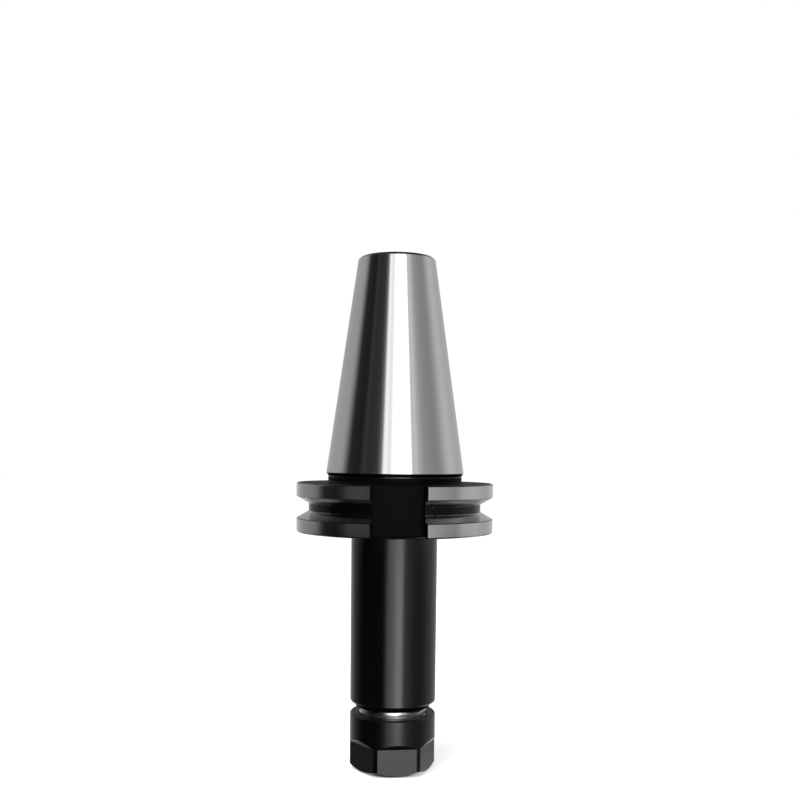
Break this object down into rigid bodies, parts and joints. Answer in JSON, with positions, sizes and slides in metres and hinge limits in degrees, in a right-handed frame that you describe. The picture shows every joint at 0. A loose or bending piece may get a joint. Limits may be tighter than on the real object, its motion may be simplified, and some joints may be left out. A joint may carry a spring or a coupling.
{
  "type": "collet chuck holder",
  "caption": "Steep-taper tool holder with a gripper flange, drive slots and a hexagonal nut that closes a slotted spring collet on a tool shank.",
  "frame": {"origin": "on the axis at the taper's gauge plane, where the cone is 44.45 mm across", "axes": "+Z along the axis towards the taper's small end, so that the holder stands on its nut; the drive slots face -Y and +Y"},
  "size_m": [0.0636, 0.0612, 0.1656],
  "materials": {
    "holder_steel": "ground bright on the taper and the flange rims, glossy black oxide on the groove, neck and shank",
    "nut_steel": "turned and milled steel, glossy black oxide",
    "collet_steel": "hardened spring steel, ground bright"
  },
  "bodies": {
    "holder": {"holder_body": "holder_steel"},
    "collet": {"spring_collet": "collet_steel"},
    "nut": {"clamping_nut": "nut_steel"}
  },
  "joints": [
    {"name": "collet_travel", "type": "slide", "parent": "holder", "child": "collet", "axis": [0, 0, -1], "range_m": [-0.00071, 0.00951]},
    {"name": "nut_turn", "type": "hinge", "parent": "collet", "child": "nut", "pos_m": [0, 0, -0.0878], "axis": [0, 0, -1], "range_deg": [-168, 2280]}
  ],
  "couplings": [
    {"joint": "collet_travel", "follows": "nut_turn", "m_per_rad": 0.00023873}
  ]
}
